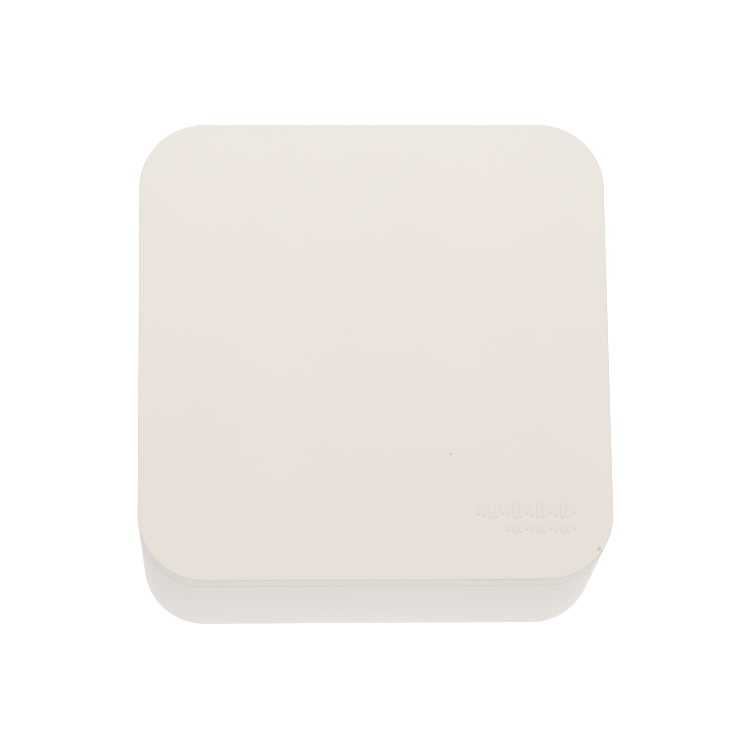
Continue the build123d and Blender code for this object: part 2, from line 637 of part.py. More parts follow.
# Each lead's route over the board, from its plug to the feed leg of its antenna
LEADS = {
    "right": [
        (12.0, -34.5), (19.0, -34.0), (26.0, -31.2), (30.8, -25.6), (32.9, -18.2),
        (32.6, -11.0), (33.2, -4.2), (37.0, 0.0), (ANTENNA_AT, 0.0),
    ],
    "left": [
        (-2.0, -16.0), (-10.0, -15.6), (-20.0, -16.2), (-28.0, -14.6), (-32.6, -9.8),
        (-33.4, -4.2), (-37.0, 0.0), (-ANTENNA_AT, 0.0),
    ],
    "upper": [
        (-24.5, -12.0), (-23.6, -4.0), (-24.5, 5.0), (-24.2, 14.0), (-22.8, 22.0), (-19.0, 28.5),
        (-12.5, 31.8), (-4.6, 32.2), (0.0, 36.6), (0.0, ANTENNA_AT),
    ],
    "lower": [
        (-26.0, -40.6), (-20.0, -39.6), (-13.5, -40.2), (-7.0, -41.6),
        (-LEG_HALF, -ANTENNA_AT - ANTENNA_T / 2),
    ],
}


def corner_radii(points):
    """The largest even arc for each corner of a route."""
    radii = []
    for before, here, after in zip(points, points[1:], points[2:]):
        first, second = here - before, after - here
        turn = math.radians(first.get_angle(second))
        radii.append(0.45 * min(first.length, second.length) / math.tan(turn / 2))
    return radii


def antenna_lead(route):
    points = [Vector(x, y, LEAD_Z) for x, y in route]
    points[0] += (points[1] - points[0]).normalized() * (PLUG_R + 0.02)
    radii = corner_radii(points)
    path = FilletPolyline(*points, radius=radii)
    lead = sweep(Plane(origin=path @ 0, z_dir=path % 0) * Circle(LEAD_R), path=path)
    share = lead.volume / (math.pi * LEAD_R**2 * path.length)
    print(f"lead {path.length:.1f} mm, radii {[round(r, 1) for r in radii]}, volume share {share:.3f}")
    return lead


def antenna_plug(x, y):
    return rod(PLUG_R, (BOARD_TOP, BOARD_TOP + PLUG_T), x, y)


# Reset button and its switch

SWITCH_SIDE = 6.0
SWITCH_Z = (BOARD_Z - 2.3, BOARD_Z)
SWITCH_WELL = 1.8
PLUNGER_R = 1.4
PLUNGER_Z = (SWITCH_Z[0] - 0.7, SWITCH_Z[0] + 1.2)
BUTTON_SHOULDER_R = 2.8


def reset_switch():
    body = around(*RESET, SWITCH_SIDE, SWITCH_SIDE, SWITCH_Z)
    return body - rod(PLUNGER_R + 0.1, (SWITCH_Z[0] - CUT, SWITCH_Z[0] + SWITCH_WELL), *RESET)


def reset_button():
    shoulder_z = BAY_FLOOR_Z + BAY_WALL + 0.1
    cap = rod(RESET_CAP_R, (BAY_FLOOR_Z - 0.8, shoulder_z), *RESET)
    return cap + rod(BUTTON_SHOULDER_R, (shoulder_z, PLUNGER_Z[0]), *RESET)


def reset_plunger():
    return rod(PLUNGER_R, PLUNGER_Z, *RESET)


# Surface-mounted parts on the front side of the board: places, then (width, length, height)

CHIPS = {
    "memory_chips": ([(28.0, -4.0), (28.0, 12.0)], (8.0, 13.0, 1.1)),
    "flash_chip": ([(-31.0, 12.0)], (6.0, 8.0, 1.6)),
    "radio_chips": ([(-20.0, -28.0), (1.5, -28.0)], (9.0, 9.0, 1.0)),
    "power_controller_chips": ([(30.0, 25.0), (-31.0, 26.0)], (6.0, 6.0, 0.9)),
    "filter_coils": ([(23.0, 31.0), (-29.5, 0.0), (17.0, 35.0)], (4.0, 4.0, 2.0)),
}

# Rows of chip resistors and capacitors: where each starts, the way it runs, and how many
CHIP_ROWS = [
    ((36.0, 6.0), (0, 1), 6),
    ((24.5, 20.2), (1, 0), 5),
    ((-37.0, 8.0), (0, 1), 6),
    ((20.5, -18.0), (1, 0), 5),
    ((-16.0, 38.0), (1, 0), 6),
    ((5.0, 33.0), (1, 0), 5),
    ((14.0, -39.5), (1, 0), 7),
]
CHIP_SIZE = (0.8, 1.6, 0.7)  # along the row, across it, and up
CHIP_PITCH = 2.0


def small_parts():
    along, across, height = CHIP_SIZE
    found = []
    for (x, y), (run_x, run_y), count in CHIP_ROWS:
        width, length = (along, across) if run_x else (across, along)
        for index in range(count):
            step = index * CHIP_PITCH
            centre = (x + run_x * step, y + run_y * step)
            found.append(around(*centre, width, length, (BOARD_TOP, BOARD_TOP + height)))
    return found


RATING_LABEL = (0.0, -31.5, 24.0, 8.0)  # place, width, length
LABEL_T = 0.12
LINE_TRANSFORMER = (-27.0, 20.0, 12.7, 17.0)
LINE_TRANSFORMER_H = 5.9
PROCESSOR_SIDE, PAD_SIDE = 19.0, 18.0
PROCESSOR_TOP = BOARD_TOP + 1.2
LED_SIZE = (1.6, 0.8, 0.7)


# Write every node

save("front_cover", front_cover())
save("light_pipe", rod(PIPE_R, PIPE_Z, *LED))
save("housing_shell", housing_shell())
save("bayonet_ring", bayonet_ring())
save("bayonet_ring_screws", *[ring_screw(x, y) for x, y in four(TOWER, TOWER)])
save("rubber_feet", *[rod(FOOT_R, FOOT_Z, x, y) for x, y in four(TOWER, TOWER)])
save("lock_screw", lock_screw())
save("lock_screw_insert", lock_screw_insert())
save("ceiling_bracket", ceiling_bracket())
save("cable_bay", cable_bay())
save("cable_bay_screws", *[bay_screw(x, y) for x, y in BAY_SCREWS])
save("rating_label", around(*RATING_LABEL, (REAR_WALL_Z - LABEL_T, REAR_WALL_Z)))
save("main_board", main_board())
save("board_screws", *[board_screw(x, y) for x, y in four(*BOARD_SCREW)])
save("ethernet_jack_shield", ethernet_jack_shield())
save("ethernet_jack_insert", ethernet_jack_insert())
save("ethernet_contacts", *[contact(index) for index in range(CONTACTS)])
save("ethernet_transformer", around(*LINE_TRANSFORMER, (BOARD_Z - LINE_TRANSFORMER_H, BOARD_Z)))
save("dc_jack", dc_jack())
save("dc_jack_pin", dc_jack_pin())
save("poe_transformer_core", poe_transformer_core())
save("poe_transformer_winding", poe_transformer_winding())
save("power_capacitors", *[capacitor(*place) for place in CAPACITORS])
save("power_inductors", *[inductor(x, y) for x, y in INDUCTORS])
save("radio_shield_5g", shield_can(*CAN_5G))
save("radio_shield_2g", shield_can(*CAN_2G))
save("processor", around(*SINK_CENTRE, PROCESSOR_SIDE, PROCESSOR_SIDE, (BOARD_TOP, PROCESSOR_TOP)))
save("thermal_pad", around(*SINK_CENTRE, PAD_SIDE, PAD_SIDE, (PROCESSOR_TOP, SINK_BASE_Z[0])))
save("heat_sink", heat_sink())
save("heat_sink_push_pins", *[push_pin(x, y) for x, y in SINK_PINS])
save("heat_sink_springs", *[pin_spring(x, y) for x, y in SINK_PINS])
for name, (length, turn_deg) in ANTENNAS.items():
    save(f"antenna_{name}", antenna(length, turn_deg))
    save(f"antenna_lead_{name}", antenna_lead(LEADS[name]))
save("antenna_plugs", *[antenna_plug(*route[0]) for route in LEADS.values()])
for name, (places, (width, length, height)) in CHIPS.items():
    save(name, *[around(x, y, width, length, (BOARD_TOP, BOARD_TOP + height)) for x, y in places])
save("small_parts", *small_parts())
save("status_led", around(*LED, *LED_SIZE[:2], (BOARD_TOP, BOARD_TOP + LED_SIZE[2])))
save("reset_button", reset_button())
save("reset_plunger", reset_plunger())
save("reset_switch", reset_switch())
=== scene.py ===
import json
import math

import bpy
from mathutils import Euler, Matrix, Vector


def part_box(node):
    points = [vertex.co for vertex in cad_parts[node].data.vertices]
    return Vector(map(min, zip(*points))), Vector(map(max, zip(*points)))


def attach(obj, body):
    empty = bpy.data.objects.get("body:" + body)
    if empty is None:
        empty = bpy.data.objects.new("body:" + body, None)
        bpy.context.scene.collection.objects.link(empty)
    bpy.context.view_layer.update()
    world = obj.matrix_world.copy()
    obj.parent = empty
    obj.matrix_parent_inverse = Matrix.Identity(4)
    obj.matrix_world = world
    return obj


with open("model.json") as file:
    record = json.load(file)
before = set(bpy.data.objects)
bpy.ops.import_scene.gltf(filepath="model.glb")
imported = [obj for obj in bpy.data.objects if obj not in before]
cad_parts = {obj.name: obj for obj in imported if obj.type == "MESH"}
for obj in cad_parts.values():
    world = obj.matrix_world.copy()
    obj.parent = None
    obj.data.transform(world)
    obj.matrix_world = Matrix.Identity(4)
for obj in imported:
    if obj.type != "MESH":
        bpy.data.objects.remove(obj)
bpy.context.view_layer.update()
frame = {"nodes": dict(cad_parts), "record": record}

# Lengths in the modelling code are in millimetres; MM turns them into Blender's metres.
MM = 0.001
FRONT_WIDTH = 99.64
FRONT_Z = 52.0
BOARD_TOP = 27.6

# The camera: how it is turned from looking straight at the front, where the middle of the front lies in its
# view (right, up and behind, in front widths), and its lens on a 36 mm sensor
CAMERA_TURN = (13.97, -2.14, -0.16)
FRONT_IN_VIEW = (-0.0018, 0.0564, -7.146)
LENS = 161.48
CAMERA_CLIP = (0.05, 20)  # metres


def camera():
    data = bpy.data.cameras.new("camera")
    data.lens = LENS
    data.clip_start, data.clip_end = CAMERA_CLIP
    made = bpy.data.objects.new("camera", data)
    bpy.context.scene.collection.objects.link(made)
    turn = Euler([math.radians(angle) for angle in CAMERA_TURN], "ZYX")
    offset = turn.to_matrix() @ (Vector(FRONT_IN_VIEW) * FRONT_WIDTH)
    made.location = (Vector((0, 0, FRONT_Z)) - offset) * MM
    made.rotation_mode = "ZYX"
    made.rotation_euler = turn
    bpy.context.scene.camera = made


# Materials

FINISHES = {}
ROUGHNESS_DRIFT = 0.12  # the share by which the grain changes the roughness
WAVE_PERIOD = 0.31  # of the wave texture at scale 1
SPANGLE_GREY = (0.42, 0.43, 0.45)


def node(tree, kind, inputs=None, **settings):
    """Adds a shader node. An input is a value, or another node's output."""
    made = tree.nodes.new(kind)
    for key, value in settings.items():
        setattr(made, key, value)
    for key, value in (inputs or {}).items():
        if isinstance(value, bpy.types.NodeSocket):
            tree.links.new(value, made.inputs[key])
        else:
            made.inputs[key].default_value = value
    return made


def noise(tree, size, stretch=(1, 1, 1), detail=2.0):
    """Noise whose features are about size millimetres across, times the stretch along each axis."""
    place = node(tree, "ShaderNodeTexCoord").outputs["Object"]
    scale = [1 / (size * MM * long) for long in stretch]
    where = node(tree, "ShaderNodeMapping", {"Vector": place, "Scale": scale}).outputs["Vector"]
    inputs = {"Vector": where, "Scale": 1.0, "Detail": detail}
    return node(tree, "ShaderNodeTexNoise", inputs).outputs["Fac"]


def spread(tree, value, low, high, source=(0.3, 0.7)):
    """Maps the source range onto low to high. The range given here holds most of a noise's values."""
    inputs = {"Value": value, "From Min": source[0], "From Max": source[1], "To Min": low, "To Max": high}
    return node(tree, "ShaderNodeMapRange", inputs).outputs["Result"]


def mixed(tree, share, first, second):
    made = node(tree, "ShaderNodeMix", {"Factor": share}, data_type="RGBA")
    for socket, colour in (("A_Color", first), ("B_Color", second)):
        place = next(s for s in made.inputs if s.identifier == socket)
        if isinstance(colour, bpy.types.NodeSocket):
            tree.links.new(colour, place)
        else:
            place.default_value = (*colour, 1)
    return next(s for s in made.outputs if s.identifier == "Result_Color")


def surface(name, colour, rough, tone=0.05, tone_size=9.0, grain=1.5, grain_size=0.3, stretch=(1, 1, 1),
            **fixed):
    """Adds a finish whose tone drifts slowly and whose skin has a fine grain.

    tone is the drift's share of the colour, and tone_size how far apart its patches are. grain is the
    height of the grain in thousandths of a millimetre, grain_size its size across, and stretch draws it
    out into lines. fixed holds values of the shader's other sockets.
    """
    material = bpy.data.materials.new(name)
    material.use_nodes = True
    tree = material.node_tree
    shader = tree.nodes["Principled BSDF"]
    drift = spread(tree, noise(tree, tone_size), 0, 1)
    dark, light = ([min(1, channel * share) for channel in colour] for share in (1 - tone, 1 + tone))
    tree.links.new(mixed(tree, drift, dark, light), shader.inputs["Base Color"])
    skin = noise(tree, grain_size, stretch)
    smoothest, roughest = (rough * share for share in (1 - ROUGHNESS_DRIFT, 1 + ROUGHNESS_DRIFT))
    tree.links.new(spread(tree, skin, smoothest, roughest), shader.inputs["Roughness"])
    bump = node(tree, "ShaderNodeBump", {"Height": skin, "Strength": 1.0, "Distance": grain * MM * MM})
    tree.links.new(bump.outputs["Normal"], shader.inputs["Normal"])
    for key, value in fixed.items():
        shader.inputs[key.replace("_", " ")].default_value = value
    FINISHES[name] = material


def weave_tint(material, thread, colour, amount):
    """Adds the faint crossed weave of a glass laminate to a finish."""
    tree = material.node_tree
    shader = tree.nodes["Principled BSDF"]
    under = shader.inputs["Base Color"].links[0].from_socket
    place = node(tree, "ShaderNodeTexCoord").outputs["Object"]
    inputs = {"Vector": place, "Scale": WAVE_PERIOD / (thread * MM)}
    across, along = (
        node(tree, "ShaderNodeTexWave", inputs, bands_direction=axis).outputs["Fac"] for axis in ("X", "Y")
    )
    both = node(tree, "ShaderNodeMath", {0: across, 1: along}, operation="MULTIPLY")
    share = spread(tree, both.outputs["Value"], 0, amount, (0, 1))
    tree.links.new(mixed(tree, share, under, colour), shader.inputs["Base Color"])


def spangle(material, size, depth):
    """Gives a metal the faceted tone of a hot-dipped or tinned sheet."""
    tree = material.node_tree
    shader = tree.nodes["Principled BSDF"]
    place = node(tree, "ShaderNodeTexCoord").outputs["Object"]
    cells = node(tree, "ShaderNodeTexVoronoi", {"Vector": place, "Scale": 1 / (size * MM)})
    tint = node(tree, "ShaderNodeSeparateColor", {"Color": cells.outputs["Color"]}).outputs["Red"]
    under = shader.inputs["Base Color"].links[0].from_socket
    share = spread(tree, tint, 0, depth, (0, 1))
    tree.links.new(mixed(tree, share, under, SPANGLE_GREY), shader.inputs["Base Color"])


METAL = {"Metallic": 1.0}
LACQUER = {"Coat_Weight": 0.35, "Coat_Roughness": 0.18}

# Name, colour, roughness, tone and its size, grain and its size, and stretch
surface("cover_plastic", (0.730, 0.672, 0.604), 0.40, 0.008, 30, 1.2, 0.22)
surface("inner_plastic", (0.66, 0.645, 0.61), 0.5, 0.03, 14, 2.5, 0.35)
surface("bracket_plastic", (0.54, 0.535, 0.51), 0.5, 0.04, 12, 3.0, 0.4)
# Its emission gives the clear plastic a faint painted glow, standing in for light seen through it; no lamp
# lights it
surface("clear_plastic", (0.9, 0.9, 0.86), 0.3, 0.02, 5, 0.5, 0.5,
        Transmission_Weight=0.4, IOR=1.49, Emission_Color=(1.0, 0.97, 0.92, 1), Emission_Strength=0.22)
surface("screw_steel", (0.62, 0.62, 0.63), 0.34, 0.1, 1.2, 2.0, 0.12, **METAL)
surface("black_steel", (0.07, 0.07, 0.075), 0.4, 0.2, 0.8, 2.0, 0.15, **METAL)
surface("insert_brass", (0.70, 0.50, 0.22), 0.3, 0.1, 0.9, 3.0, 0.2, **METAL)
surface("foot_rubber", (0.028, 0.028, 0.03), 0.78, 0.2, 2.0, 9.0, 0.25)
surface("label_paper", (0.80, 0.80, 0.79), 0.4, 0.02, 6, 1.0, 0.2)
surface("board_laminate", (0.012, 0.115, 0.052), 0.3, 0.14, 7, 2.0, 0.5, **LACQUER)
surface("shield_tin", (0.70, 0.69, 0.66), 0.3, 0.06, 3.5, 3.0, 0.25, (1, 6, 1), **METAL)
surface("black_plastic", (0.016, 0.016, 0.017), 0.52, 0.22, 2.4, 5.0, 0.12)
surface("gold_plate", (0.83, 0.62, 0.27), 0.25, 0.08, 0.8, 1.5, 0.15, **METAL)
surface("ferrite", (0.05, 0.05, 0.055), 0.6, 0.3, 0.9, 12.0, 0.2)
surface("winding_tape", (0.70, 0.46, 0.05), 0.3, 0.08, 1.5, 4.0, 0.3, (8, 1, 1))
surface("capacitor_sleeve", (0.55, 0.56, 0.58), 0.3, 0.08, 2, 2.0, 0.2, **METAL)
surface("sink_aluminium", (0.64, 0.65, 0.67), 0.36, 0.07, 5, 4.0, 0.10, (1, 90, 1), **METAL)
surface("pad_silicone", (0.18, 0.28, 0.38), 0.7, 0.1, 2, 6.0, 0.3)
surface("spring_steel", (0.66, 0.66, 0.68), 0.24, 0.08, 0.6, 1.0, 0.1, **METAL)
surface("antenna_metal", (0.76, 0.56, 0.27), 0.3, 0.05, 3.2, 2.5, 0.16, (1, 1, 12), **METAL)
surface("lead_black", (0.02, 0.02, 0.022), 0.42, 0.15, 1.5, 3.0, 0.2)
surface("chip_ceramic", (0.27, 0.17, 0.10), 0.42, 0.2, 1.0, 3.0, 0.15)
surface("button_grey", (0.11, 0.115, 0.125), 0.34, 0.08, 1.2, 1.5, 0.2)
surface("led_yellow", (0.86, 0.76, 0.30), 0.2, 0.08, 0.5, 1.0, 0.1)
surface("trace_green", (0.030, 0.20, 0.085), 0.3, 0.1, 6, 2.0, 0.4, **LACQUER)
surface("solder", (0.68, 0.68, 0.67), 0.28, 0.1, 0.7, 3.0, 0.15, **METAL)
surface("board_print", (0.76, 0.77, 0.73), 0.55, 0.06, 0.7, 3.0, 0.12)
surface("chip_dot", (0.075, 0.075, 0.08), 0.4, 0.15, 0.6, 2.0, 0.1)
weave_tint(FINISHES["board_laminate"], 0.55, (0.035, 0.20, 0.09), 0.35)
spangle(FINISHES["shield_tin"], 1.6, 0.3)


def dress_cad():
    """Gives every CAD node the finish of its slot in the record."""
    for subpart in frame["record"]["subparts"]:
        mesh = frame["nodes"][subpart["node"]].data
        mesh.materials.clear()
        mesh.materials.append(FINISHES[subpart["material_slot"]])


# Mesh tools

SHARPEST_MITRE = 0.5  # the least cosine of half a corner's turn that a mitre is stretched for
SHARP_EDGE_DEG = 35


class Shapes:
    """Collects closed shapes, given in millimetres, that together make one piece."""

    def __init__(self):
        self.points = []
        self.faces = []

    def loft(self, rings, closed=False):
        """Joins rings of equally many points. closed joins the last to the first, instead of two caps."""
        start, count = len(self.points), len(rings[0])
        for ring in rings:
            self.points += ring
        levels = len(rings) if closed else len(rings) - 1
        for level in range(levels):
            here = start + level * count
            above = start + (level + 1) % len(rings) * count
            for i in range(count):
                j = (i + 1) % count
                self.faces.append((here + i, here + j, above + j, above + i))
        if not closed:
            last = start + (len(rings) - 1) * count
            self.faces.append(tuple(reversed(range(start, start + count))))
            self.faces.append(tuple(range(last, last + count)))

    def plate(self, x, y, z, edge=0.0):
        """A block; edge bevels its upper rim."""
        def ring(inset, level):
            x0, x1, y0, y1 = x[0] + inset, x[1] - inset, y[0] + inset, y[1] - inset
            return [(x0, y0, level), (x1, y0, level), (x1, y1, level), (x0, y1, level)]

        rings = [ring(0, z[0]), ring(0, z[1] - edge)]
        if edge:
            rings.append(ring(edge, z[1]))
        self.loft(rings)

    def turned(self, x, y, profile, closed=False, sides=20):
        """Revolves (radius, height) points about an upright axis; closed makes a ring of them."""
        rings = []
        for radius, height in profile:
            angles = [2 * math.pi * i / sides for i in range(sides)]
            rings.append([(x + radius * math.cos(a), y + radius * math.sin(a), height) for a in angles])
        self.loft(rings, closed)

    def strip(self, route, width, z):
        """A flat strip along a route of (x, y) points, with mitred corners."""
        route = [Vector(point) for point in route]
        rings = []
        for i, here in enumerate(route):
            before = (here - route[i - 1]).normalized() if i else None
            after = (route[i + 1] - here).normalized() if i + 1 < len(route) else None
            ahead = ((before or after) + (after or before)).normalized()
            half = width / 2 / max(SHARPEST_MITRE, ahead.dot(before or after))
            side = Vector((-ahead.y, ahead.x)) * half
            left, right = here + side, here - side
            rings.append([(*right, z[0]), (*left, z[0]), (*left, z[1]), (*right, z[1])])
        self.loft(rings)

    def outline(self, x, y, width, z):
        """A rectangular line just outside two (low, high) pairs."""
        outer_x, outer_y = (x[0] - width, x[1] + width), (y[0] - width, y[1] + width)
        for edge in ((outer_y[0], y[0]), (y[1], outer_y[1])):
            self.plate(outer_x, edge, z)
        for edge in ((outer_x[0], x[0]), (x[1], outer_x[1])):
            self.plate(edge, y, z)

    def make(self, name, body, slot, finish=None, smooth=False):
        mesh = bpy.data.meshes.new(name)
        mesh.from_pydata([Vector(point) * MM for point in self.points], [], self.faces)
        mesh.materials.append(FINISHES[finish or slot])
        if smooth:
            mesh.shade_smooth()
            mesh.set_sharp_from_angle(angle=math.radians(SHARP_EDGE_DEG))
        made = bpy.data.objects.new(name, mesh)
        bpy.context.scene.collection.objects.link(made)
        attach(made, body)


def solids_of(name):
    """The (low, high) corners, in millimetres, of each separate solid in a CAD node, from left to right."""
    mesh = frame["nodes"][name].data
    owner = {}

    def first(key):
        while owner[key] != key:
            key = owner[key]
        return key

    keys = [tuple(round(value / MM, 3) for value in vertex.co) for vertex in mesh.vertices]
    for key in keys:
        owner[key] = key
    for edge in mesh.edges:
        a, b = (first(keys[i]) for i in edge.vertices)
        owner[a] = b
    groups = {}
    for key in owner:
        groups.setdefault(first(key), []).append(key)
    corners = []
    for points in groups.values():
        axes = list(zip(*points))
        corners.append((Vector([min(axis) for axis in axes]), Vector([max(axis) for axis in axes])))
    return sorted(corners, key=lambda pair: tuple(pair[0]))


# Details of the main board

ROOTED = 0.02  # how far a thin piece reaches into what carries it
COPPER_H, INK_H, VIA_H = 0.04, 0.03, 0.05
COPPER = (BOARD_TOP - ROOTED, BOARD_TOP + COPPER_H)
PRINT = (BOARD_TOP - ROOTED, BOARD_TOP + INK_H)


def band(outer, inner, z):
    """The closed profile of a flat ring."""
    return [(outer, z[0]), (outer, z[1]), (inner, z[1]), (inner, z[0])]


def centred(count, pitch):
    """Evenly spaced places in a row, centred on zero."""
    return [(index - (count - 1) / 2) * pitch for index in range(count)]


# Buses of parallel traces: the first trace's route, the step to the next one, and how many
BUSES = [
    ([(17.0, -9.0), (25.0, -9.0)], (0.0, 0.62), 17),
    ([(17.0, 6.5), (25.0, 6.5)], (0.0, 0.62), 18),
    ([(-17.0, 3.0), (-22.0, 3.0), (-26.5, 7.5), (-28.6, 7.5)], (0.0, 0.7), 10),
    ([(-19.0, -12.0), (-19.0, -17.0), (-20.5, -18.5), (-20.5, -20.0)], (0.65, 0.0), 9),
    ([(-4.0, -12.0), (-4.0, -20.0)], (0.65, 0.0), 12),
    ([(-10.0, 24.0), (-10.0, 27.0), (-12.0, 29.0), (-12.0, 31.0)], (1.1, 0.0), 8),
    ([(2.5, 24.0), (2.5, 29.5), (8.0, 35.0), (13.0, 35.0)], (0.7, -0.7), 4),
    ([(33.5, -7.0), (37.0, -7.0), (38.6, -5.4), (38.6, 4.0)], (0.55, -0.55), 4),
    ([(-30.0, 17.2), (-30.0, 20.0), (-31.8, 21.8), (-31.8, 22.6)], (0.8, 0.0), 5),
    ([(27.5, 27.0), (25.0, 29.5), (25.0, 30.6)], (0.8, 0.8), 3),
]
TRACE_W = 0.26
VIA = band(0.34, 0.17, (COPPER[0], BOARD_TOP + VIA_H))
TRACES_PER_VIA = 3
FIDUCIAL = band(0.55, 0.01, COPPER)
FIDUCIALS = [(-30.0, 37.5), (30.0, 39.5), (30.0, -40.0)]
# Ground bars up both sides, each in two lengths, and rows of vias outside them on all four sides
BAR_OUT, BAR_W = 40.4, 0.9
BAR_SPANS = [(-22.5, -3.0), (3.0, 22.5)]
EDGE_VIA_OUT = 43.1
EDGE_VIAS, EDGE_VIA_PITCH = 20, 3.1
ANTENNA_CLEAR = 10.5  # half of the room left free for the antenna in the middle of a side


def traces():
    copper, vias = Shapes(), Shapes()
    for route, (step_x, step_y), count in BUSES:
        for index in range(count):
            moved = [(x + index * step_x, y + index * step_y) for x, y in route]
            copper.strip(moved, TRACE_W, COPPER)
            if index % TRACES_PER_VIA == 0:
                vias.turned(*moved[-1], VIA, True)
    for side in (-1, 1):
        for low, high in BAR_SPANS:
            copper.strip([(side * BAR_OUT, low), (side * BAR_OUT, high)], BAR_W, COPPER)
        for along in centred(EDGE_VIAS, EDGE_VIA_PITCH):
            if abs(along) > ANTENNA_CLEAR:
                vias.turned(side * EDGE_VIA_OUT, along, VIA, True)
                vias.turned(along, side * EDGE_VIA_OUT, VIA, True)
    for x, y in FIDUCIALS:
        vias.turned(x, y, FIDUCIAL, True)
    copper.make("board_traces", "housing", "board_laminate", "trace_green")
    vias.make("board_vias", "housing", "gold_plate")


DOME = [(0.75, 0.0), (0.62, 0.14), (0.36, 0.42), (0.2, 0.8), (0.04, 0.86)]
DOME_ROOTED = 0.01
# Each kind of joint: the dome's share across and up, and its facets
PIN_JOINT = (0.62, 0.7, 14)
SHIELD_JOINT = (1.3, 1.0, 18)
ANTENNA_JOINT = (1.1, 0.55, 16)
JACK_PINS, JACK_PIN_X, JACK_PIN_PITCH = 8, -7.6, 1.02  # how many, the first one's x, and their pitch
JACK_PINS_Y = (32.0, 34.0)
JACK_LEGS_X, JACK_LEGS_Y = (-12.6, 4.6), 30.0
# The axis that each antenna runs along, and which way its second leg lies from the one in its middle
ANTENNAS = {"right": (1, 1), "left": (1, -1), "upper": (0, -1), "lower": (0, 1)}
ANTENNA_LEG_OUT = 42.2
ANTENNA_LEG_INSET = 1.0  # from the antenna's end


def solder_joints():
    """Domed joints of the network socket's pins, of its shield and of the antennas' legs."""
    joints = Shapes()

    def joint(x, y, across, up, sides):
        profile = [(radius * across, BOARD_TOP - DOME_ROOTED + height * up) for radius, height in DOME]
        joints.turned(x, y, profile, sides=sides)

    for index in range(JACK_PINS):
        joint(JACK_PIN_X + index * JACK_PIN_PITCH, JACK_PINS_Y[index % 2], *PIN_JOINT)
    for x in JACK_LEGS_X:
        joint(x, JACK_LEGS_Y, *SHIELD_JOINT)
    for name, (along, way) in ANTENNAS.items():
        low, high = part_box(f"antenna_{name}")
        reach = (high - low)[along] / 2 / MM - ANTENNA_LEG_INSET
        for leg in (0.0, way * reach):
            place = [leg, leg]
            place[1 - along] = math.copysign(ANTENNA_LEG_OUT, (low + high)[1 - along])
            joint(*place, *ANTENNA_JOINT)
    joints.make("solder_joints", "housing", "shield_tin", "solder", smooth=True)


# The printed frame around each kind of chip: how far it stands off
CHIP_FRAMES = {
    "memory_chips": 0.45,
    "flash_chip": 0.9,
    "power_controller_chips": 0.45,
    "filter_coils": 0.45,
}
CHIP_FRAME_W = 0.16
LEG_DOT = [(0.26, PRINT[0]), (0.26, PRINT[1])]
LEG_DOT_OUT, LEG_DOT_DOWN = 0.6, 0.3  # from the frame's upper left corner
SINK_FRAME_GAP, SINK_FRAME_W = 0.6, 0.18
BOARD_SCREWS = [(41, 26), (41, -26), (-41, 26), (-41, -26)]
SCREW_RING = band(3.0, 2.8, PRINT)


def silkscreen():
    """Printed frames around the chips and the heat sink, dots by first legs, and rings at the screws."""
    lines = Shapes()
    for name, gap in CHIP_FRAMES.items():
        for low, high in solids_of(name):
            x, y = (low.x - gap, high.x + gap), (low.y - gap, high.y + gap)
            lines.outline(x, y, CHIP_FRAME_W, PRINT)
            lines.turned(x[0] - LEG_DOT_OUT, y[1] - LEG_DOT_DOWN, LEG_DOT, sides=14)
    low, high = (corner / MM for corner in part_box("heat_sink"))
    x, y = ((low[axis] - SINK_FRAME_GAP, high[axis] + SINK_FRAME_GAP) for axis in (0, 1))
    lines.outline(x, y, SINK_FRAME_W, PRINT)
    for x, y in BOARD_SCREWS:
        lines.turned(x, y, SCREW_RING, closed=True, sides=40)
    lines.make("board_silkscreen", "housing", "label_paper", "board_print")


# Legs of the flash chip: the bends, as out from its side and up from the board, and half the leg's section
LEG_PROFILE = [(-0.05, 0.86), (0.3, 0.86), (0.48, 0.2), (0.95, 0.1)]
LEG_HALF_W, LEG_HALF_T = 0.2, 0.08
LEGS, LEG_PITCH = 4, 1.27  # on each of two sides
# Pads of the flat chips: their span out from the chip's middle, half the width, height and bevel
PAD_SPAN = (2.9, 3.25)
PAD_HALF_W, PAD_H, PAD_BEVEL = 0.16, 0.24, 0.05
PADS, PAD_PITCH = 6, 0.8  # on each of four sides
# Metal ends of the small parts: how thickly they wrap the body, and their reach out and in from its end
END_WRAP, END_BEVEL = 0.04, 0.08
END_OUT, END_IN = 0.12, 0.36


def flash_legs(metal):
    for low, high in solids_of("flash_chip"):
        for side, edge in ((-1, low.x), (1, high.x)):
            for along in centred(LEGS, LEG_PITCH):
                y = (low.y + high.y) / 2 + along
                rings = []
                for out, up in LEG_PROFILE:
                    x, z = edge + side * out, BOARD_TOP + up
                    across = (y - LEG_HALF_W, y + LEG_HALF_W)
                    ring = [(x, place, z - LEG_HALF_T) for place in across]
                    ring += [(x, place, z + LEG_HALF_T) for place in reversed(across)]
                    rings.append(ring[::side])
                metal.loft(rings)


def controller_pads(metal):
    for low, high in solids_of("power_controller_chips"):
        middle = (low + high) / 2
        for along in centred(PADS, PAD_PITCH):
            for side in (-1, 1):
                for axis in (0, 1):
                    spans = [None, None]
                    spans[axis] = sorted(middle[axis] + side * out for out in PAD_SPAN)
                    row = middle[1 - axis] + along
                    spans[1 - axis] = (row - PAD_HALF_W, row + PAD_HALF_W)
                    metal.plate(*spans, (BOARD_TOP, BOARD_TOP + PAD_H), PAD_BEVEL)


def part_ends(metal):
    for low, high in solids_of("small_parts"):
        lengthwise = 0 if high.x - low.x > high.y - low.y else 1
        for end, inward in ((low, 1), (high, -1)):
            spans = [(low[axis] - END_WRAP, high[axis] + END_WRAP) for axis in (0, 1)]
            reach = (end[lengthwise] - inward * END_OUT, end[lengthwise] + inward * END_IN)
            spans[lengthwise] = sorted(reach)
            metal.plate(*spans, (BOARD_TOP, high.z + END_WRAP), END_BEVEL)


